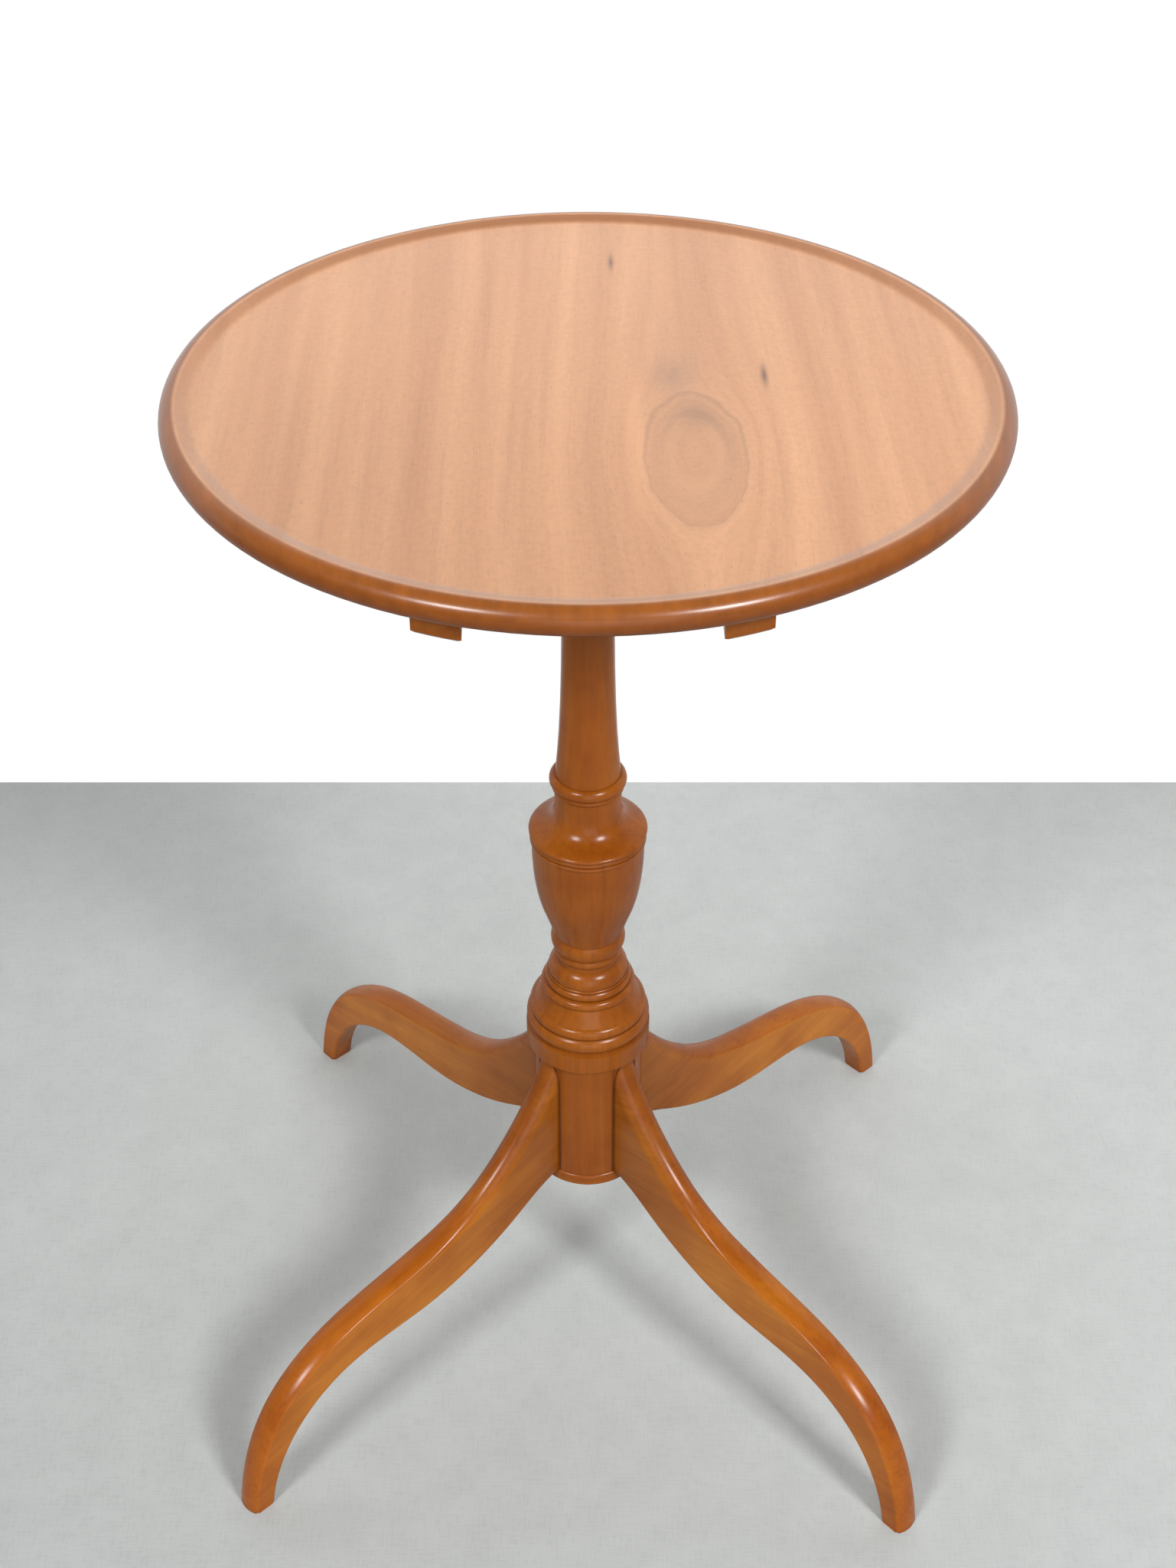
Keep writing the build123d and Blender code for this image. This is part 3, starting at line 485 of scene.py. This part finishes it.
def smooth_object(name, mesh, material, body, slot, *nodes):
    """Puts a new mesh on a body in place of CAD nodes."""
    for polygon in mesh.polygons:
        polygon.use_smooth = True
    piece = bpy.data.objects.new(name, mesh)
    bpy.context.scene.collection.objects.link(piece)
    mesh.materials.append(material)
    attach(piece, body)
    if nodes:
        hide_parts(*nodes)
    return piece


def struck(tree, starts, way):
    """Points (out, height) where rays in a leg's middle plane strike its skin."""
    points = []
    for out, height in starts:
        hit = tree.ray_cast(Vector((out, CLEAR_OF_EDGE, height)), Vector((way[0], 0.0, way[1])))[0]
        if hit is None:
            raise RuntimeError("a ray misses the leg at %.4f, %.4f" % (out, height))
        points.append((hit.x, hit.z))
    return points


def leg_outline(name, azimuth, hub):
    """Upper and lower edges of a leg on its middle plane, from the hub to the foot, and its half widths."""
    body = bmesh.new()
    body.from_mesh(NODES[name].data)
    body.transform(Matrix.Rotation(-radians(azimuth), 4, "Z"))
    reach = max(point.co.x for point in body.verts)
    halves = [
        max(point.co.y for point in body.verts if low < point.co.x < high)
        for low, high in ((hub + MM, hub + ROOT_LENGTH), (FOOT_FROM * reach, 2 * reach))
    ]
    tree = BVHTree.FromBMesh(body)
    near = hub + RAYS_START
    edges = []
    for share, start, rise, foot_start, run in (
        (UPPER_RAYS_REACH, reach, -1, 2 * reach, -1),
        (LOWER_RAYS_REACH, -hub, 1, 2 * hub, 1),
    ):
        line = struck(tree, [(out, start) for out in np.linspace(near, share * reach, SKIN_RAYS)], (0, rise))
        heights = np.linspace(line[-1][1], CLEAR_OF_EDGE, SKIN_RAYS_AT_FOOT)[1:]
        edges.append(line + struck(tree, [(foot_start, height) for height in heights], (run, 0)))
    body.free()
    for line in edges:
        slope = (line[1][1] - line[0][1]) / (line[1][0] - line[0][0])
        line.insert(0, (hub, line[0][1] + slope * (hub - line[0][0])))
        line.append((line[-1][0], 0.0))
    return [np.array(line) for line in edges], halves


def even_line(line, count):
    """Points spaced evenly along a line and eased over its facets."""
    place = np.concatenate(([0.0], np.cumsum(np.hypot(*np.diff(line, axis=0).T))))
    even = np.linspace(0.0, place[-1], count)
    points = np.column_stack([np.interp(even, place, line[:, axis]) for axis in (0, 1)])
    for _ in range(EASING_PASSES):
        points[1:-1] = 0.25 * points[:-2] + 0.5 * points[1:-1] + 0.25 * points[2:]
    return points


def leg_ring(half, arris, lean=CROWN_LEAN, hold=EDGE_HOLD):
    """Section of a leg as (across, along, share): crowned top, rounded arrises and flat sides."""
    foot = LOWER_ARRIS
    edge = half - arris * (1 - sin(lean))
    crown = edge / sin(lean)
    drop = (crown - arris) * (1 - cos(lean))
    ring = [(crown * sin(turn), crown * (1 - cos(turn)), 0.0) for turn in np.linspace(0, lean, 10)]
    for turn in np.linspace(lean, pi / 2, 6)[1:]:
        ring.append((half - arris * (1 - sin(turn)), drop + arris * (1 - cos(turn)), 0.0))
    ring += [(half, drop + arris + hold, 0.0), (half, 0.0, 0.5), (half, -foot - hold, 1.0)]
    for turn in np.linspace(0, pi / 2, 6):
        ring.append((half - foot * (1 - cos(turn)), -foot * (1 - sin(turn)), 1.0))
    ring.append((half - foot - hold, 0.0, 1.0))
    return ring + [(-across, along, share) for across, along, share in reversed(ring[1:])]


def leg_mesh(name, azimuth, hub):
    """Leg with a crowned top, swept along the edges of its solid and eased at the foot."""
    (upper, lower), halves = leg_outline("leg_" + name, azimuth, hub)
    upper = even_line(upper, LEG_STATIONS)
    lower = even_line(lower, LEG_STATIONS)
    skin = bmesh.new()
    rows = []
    for station in (0, *range(LEG_STATIONS)):
        top = upper[station]
        way = lower[station] - top
        down = way / hypot(*way)
        width = np.interp(top[0], (hub, upper[-1][0]), halves) / halves[0]
        if not rows:
            width *= 1 - HUB_GROOVE / halves[0]
        arris = np.interp(top[0], (hub, *(hub + stop for stop in ARRIS_STOPS)), ARRIS_RADII)
        ring = leg_ring(halves[0], arris)
        row = []
        run = upper[min(station + 1, LEG_STATIONS - 1)] - upper[max(station - 1, 0)]
        square = max(abs(run[0] * down[1] - run[1] * down[0]) / hypot(*run), LEAST_SQUARENESS)
        for across, along, share in ring:
            if share == 0.0:
                along /= square
            out, height = top + way * share + down * along
            if station == 0:
                out = sqrt(hub**2 - (width * across) ** 2) + (HUB_GROOVE if rows else HUB_GAP)
            row.append(skin.verts.new((out, width * across, height)))
        rows.append(row)
    for row, following in zip(rows, rows[1:]):
        for here, beside in zip(range(len(ring)), (*range(1, len(ring)), 0)):
            skin.faces.new((row[here], row[beside], following[beside], following[here]))
    skin.faces.new(rows[0])
    sole = skin.faces.new(rows[-1])
    bmesh.ops.bevel(skin, geom=sole.edges[:], offset=SOLE_ROUND, segments=4, profile=0.5, affect="EDGES")
    bmesh.ops.recalc_face_normals(skin, faces=skin.faces)
    skin.transform(Matrix.Rotation(radians(azimuth), 4, "Z"))
    mesh = bpy.data.meshes.new("crowned_leg_" + name)
    skin.to_mesh(mesh)
    skin.free()
    return mesh


class TABLE_OT_board(Operator):
    """Finishes the round board"""

    bl_idname = "table.board"
    bl_label = "Board"

    def execute(self, context):
        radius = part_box("top_board")[1].x
        dress(board_wood(radius), "top_board")
        return {"FINISHED"}


class TABLE_OT_hinge(Operator):
    """Finishes the bearers and the hinge block"""

    bl_idname = "table.hinge"
    bl_label = "Bearers and block"

    def execute(self, context):
        along_y = (0.0, 0.0, radians(-90))
        dress(plain_wood("bearer_varnish", along_y, 3.1, gloss=0.36), "bearer_left", "bearer_right")
        dress(plain_wood("block_varnish", along_y, 5.3, gloss=0.38), "hinge_block")
        dress(plain_wood("wedge_wood", along_y, 6.1, gloss=0.5), "tenon_wedge")
        return {"FINISHED"}


class TABLE_OT_pillar(Operator):
    """Finishes the turned pillar and the disc under it"""

    bl_idname = "table.pillar"
    bl_label = "Pillar and disc"

    def execute(self, context):
        upright = (0.0, radians(90), 0.0)
        dress(plain_wood("pillar_varnish", upright, 1.7, scale=46.0), "pillar")
        dress(plain_wood("disc_varnish", (0.0, 0.0, 0.0), 2.3), "base_disc")
        return {"FINISHED"}


class TABLE_OT_legs(Operator):
    """Builds the four swept legs with crowned tops"""

    bl_idname = "table.legs"
    bl_label = "Legs"

    def execute(self, context):
        settings = finish()
        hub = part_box("base_disc")[1].x - settings.disc_overhang
        for seed, (name, quarter) in enumerate(LEG_QUARTERS.items()):
            azimuth = quarter + LEG_TURN
            along = (0.0, LEG_GRAIN_SLOPE, radians(-azimuth))
            wood = plain_wood(
                "leg_varnish_" + name, along, 7.0 + seed, light=settings.leg_light, dark=settings.leg_dark,
                shade=0.4, tone=LEG_TONE,
            )
            mesh = leg_mesh(name, azimuth, hub)
            smooth_object("crowned_leg_" + name, mesh, wood, "base", "leg_wood", "leg_" + name)
        return {"FINISHED"}


class TABLE_OT_metal(Operator):
    """Finishes the brass catch, the steel pins and the screws"""

    bl_idname = "table.metal"
    bl_label = "Metalwork"

    def execute(self, context):
        settings = finish()
        brass = metal("aged_brass", tuple(settings.brass))
        steel = metal("plain_steel", tuple(settings.steel), 0.4)
        dress(brass, "bolt_plate", "bolt_plate_screws", "bolt_guides", "bolt_leaf_spring")
        dress(brass, "bolt_bar", "bolt_knob", "strike_plate", "strike_screws")
        dress(steel, "pivot_pin_left", "pivot_pin_right", "bearer_screws", "disc_screws")
        return {"FINISHED"}


def studio_sheet(name, corners):
    """Flat four-sided sheet of the studio."""
    mesh = bpy.data.meshes.new(name)
    mesh.from_pydata(corners, [], [(0, 1, 2, 3)])
    piece = bpy.data.objects.new(name, mesh)
    bpy.context.scene.collection.objects.link(piece)
    return piece


def area_lamp(name, place, aim, size, power, colour=(1.0, 1.0, 0.99)):
    """Square area lamp at a place, turned towards a point."""
    data = bpy.data.lights.new(name, "AREA")
    data.shape = "SQUARE"
    data.size = size
    data.energy = power
    data.color = colour
    lamp = bpy.data.objects.new(name, data)
    bpy.context.scene.collection.objects.link(lamp)
    lamp.location = place
    lamp.rotation_euler = (Vector(aim) - Vector(place)).to_track_quat("-Z", "Y").to_euler()
    return lamp


def front_only(paint, shader):
    """Joins a shader to the output and leaves the surface clear from behind."""
    behind = paint.add("NewGeometry").outputs["Backfacing"]
    clear = paint.add("BsdfTransparent")
    both = paint.add("MixShader", {0: behind, 1: shader.outputs[0], 2: clear.outputs[0]})
    paint.tree.links.new(both.outputs[0], paint.output.inputs["Surface"])


def floor_paint(colour):
    """Pale grey floor covered with cloth, with painted light: darker to the left and front, lighter to the
    right and back.
    """
    paint = Paint("floor_paint")
    spot = paint.coordinates()
    fold = paint.noise(spot, 3.0, 4.0, 0.55)
    tone = paint.ramp(fold, [(0.3, scaled(colour, 0.96)), (0.7, scaled(colour, 1.03))])
    across = paint.noise(paint.place(spot, scale=(1.0, 0.12, 1.0)), 620.0, 2.0, 0.5)
    along = paint.noise(paint.place(spot, scale=(0.12, 1.0, 1.0)), 620.0, 2.0, 0.5)
    weave = paint.math("ADD", across, along)
    tone = paint.tint(0.5, tone, weave, [(0.80, 0.93), (1.0, 1.05)])
    tone = paint.tint(0.6, tone, paint.noise(spot, 34.0, 3.0, 0.6), [(0.35, 0.95), (0.65, 1.03)])
    side, depth = paint.add("SeparateXYZ", {0: spot}).outputs[:2]
    # Painted light: the floor darker to the left and front, lighter to the right and back
    tone = paint.tint(1.0, tone, offset(paint, side, -0.5, 1.0), [(0.0, 0.92), (1.0, 1.06)])
    tone = paint.tint(1.0, tone, offset(paint, depth, -0.6, 1.2), [(0.0, 0.92), (1.0, 1.08)])
    relief = paint.bump(weave, 0.0002, 0.4)
    front_only(paint, paint.shader(Base_Color=tone, Roughness=0.85, Specular_IOR_Level=0.2, Normal=relief))
    return paint.material


def wall_paint():
    """Matt wall that shows as plain white and throws soft light back on the table."""
    paint = Paint("wall_paint")
    rays = paint.add("LightPath")
    seen = paint.math("MAXIMUM", rays.outputs["Is Camera Ray"], rays.outputs["Is Glossy Ray"])
    seen = paint.math("MAXIMUM", seen, rays.outputs["Is Transmission Ray"])
    white = paint.add("Emission", {"Color": (1.0, 1.0, 1.0), "Strength": 1.0})
    matt = paint.add("BsdfDiffuse", {"Color": (0.92, 0.92, 0.92)})
    front_only(paint, paint.add("MixShader", {0: seen, 1: matt.outputs[0], 2: white.outputs[0]}))
    return paint.material


class TABLE_OT_stage(Operator):
    """Builds the floor, the white wall, the lamps and the camera"""

    bl_idname = "table.stage"
    bl_label = "Studio"

    def execute(self, context):
        settings = studio()
        scene = context.scene
        wide = SHEET_HALF_WIDTH
        back = settings.wall_distance
        corners = [(-wide, -wide, 0), (wide, -wide, 0), (wide, wide, 0), (-wide, wide, 0)]
        floor = studio_sheet("studio_floor", corners)
        floor.data.materials.append(floor_paint(tuple(settings.floor)))
        corners = [(-wide, back, 0), (wide, back, 0), (wide, back, WALL_HEIGHT), (-wide, back, WALL_HEIGHT)]
        wall = studio_sheet("studio_wall", corners)
        wall.data.materials.append(wall_paint())
        for sheet in (floor, wall):
            sheet.rotation_euler = (0.0, 0.0, settings.camera_swing)

        data = bpy.data.cameras.new("studio_camera")
        data.sensor_fit = "HORIZONTAL"
        data.sensor_width = 36.0
        data.lens = settings.camera_lens
        data.clip_start = 0.05
        camera = bpy.data.objects.new("studio_camera", data)
        scene.collection.objects.link(camera)
        swing = settings.camera_swing
        distance = settings.camera_distance
        camera.location = (distance * sin(swing), -distance * cos(swing), settings.camera_height)
        camera.rotation_euler = (radians(90) - settings.camera_pitch, 0.0, swing)
        scene.camera = camera

        for side, share in LAMP_SHARES:
            place = (side * LAMP_PLACE[0], *LAMP_PLACE[1:])
            area_lamp("studio_lamp_%d" % side, place, LAMP_AIM, LAMP_SIZE, share * settings.lamp_power)
        area_lamp("studio_fill", FILL_PLACE, FILL_AIM, FILL_SIZE, settings.fill_power)

        world = bpy.data.worlds.new("studio_world")
        scene.world = world
        world.use_nodes = True
        sky = world.node_tree.nodes["Background"]
        sky.inputs["Color"].default_value = (1.0, 1.0, 1.0, 1.0)
        sky.inputs["Strength"].default_value = SKY_STRENGTH
        scene.view_settings.view_transform = "Standard"
        return {"FINISHED"}


class TABLE_PT_panel(Panel):
    """Sidebar panel that lists the makers of the table"""

    bl_idname = "TABLE_PT_panel"
    bl_label = "Tilt Top Table"
    bl_space_type = "VIEW_3D"
    bl_region_type = "UI"
    bl_category = "Table"

    def draw(self, context):
        layout = self.layout
        for maker in MAKERS:
            layout.operator(maker.bl_idname)
        for settings in (context.scene.table_finish, context.scene.table_studio):
            box = layout.box()
            for key in settings.__annotations__:
                box.prop(settings, key)


MAKERS = (TABLE_OT_stage, TABLE_OT_board, TABLE_OT_hinge, TABLE_OT_pillar, TABLE_OT_legs, TABLE_OT_metal)
CLASSES = (TableFinish, TableStudio, *MAKERS, TABLE_PT_panel)


def register():
    """Registers the classes and hangs their settings on the scene."""
    for cls in CLASSES:
        bpy.utils.register_class(cls)
    bpy.types.Scene.table_finish = PointerProperty(type=TableFinish)
    bpy.types.Scene.table_studio = PointerProperty(type=TableStudio)


def unregister():
    """Takes the settings and the classes away again."""
    del bpy.types.Scene.table_studio
    del bpy.types.Scene.table_finish
    for cls in reversed(CLASSES):
        bpy.utils.unregister_class(cls)


def main():
    """Makes every piece in order."""
    register()
    for maker in MAKERS:
        group, name = maker.bl_idname.split(".")
        getattr(getattr(bpy.ops, group), name)()


if __name__ == "__main__":
    main()
